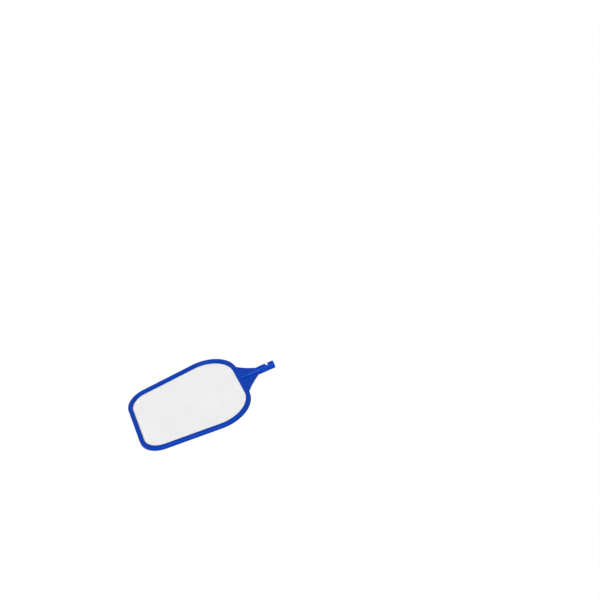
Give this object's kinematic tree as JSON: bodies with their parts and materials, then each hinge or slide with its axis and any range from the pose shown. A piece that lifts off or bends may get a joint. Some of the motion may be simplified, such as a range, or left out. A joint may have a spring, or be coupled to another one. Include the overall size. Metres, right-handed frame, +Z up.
{
  "type": "leaf skimmer net",
  "caption": "Flat leaf skimmer head: tapered moulded hoop with a fine net, a triangular web, and a hollow spigot with a sprung lock pin for a pole.",
  "frame": {"origin": "middle of the overall box in plan, on the surface that the hoop lies on", "axes": "+X from the front lip to the spigot's tip, +Z up through the open side of the hoop, where the lock pin stands out"},
  "size_m": [0.454, 0.3358, 0.0281],
  "materials": {
    "blue_plastic": "semi-gloss moulded polypropylene",
    "net_mesh": "fine woven polyester mesh, white",
    "clip_nylon": "natural white nylon"
  },
  "bodies": {
    "head": {"frame": "blue_plastic", "net": "net_mesh", "clip_fixed_leg": "clip_nylon"},
    "lock": {"clip_sprung_leg": "clip_nylon"}
  },
  "joints": [
    {"name": "lock_pin_press", "type": "hinge", "parent": "head", "child": "lock", "pos_m": [0.163, 0, 0.012], "axis": [0, 1, 0], "range_deg": [0, 6.68], "stiffness_Nm_per_rad": 1.2, "springref_deg": -11.46}
  ]
}
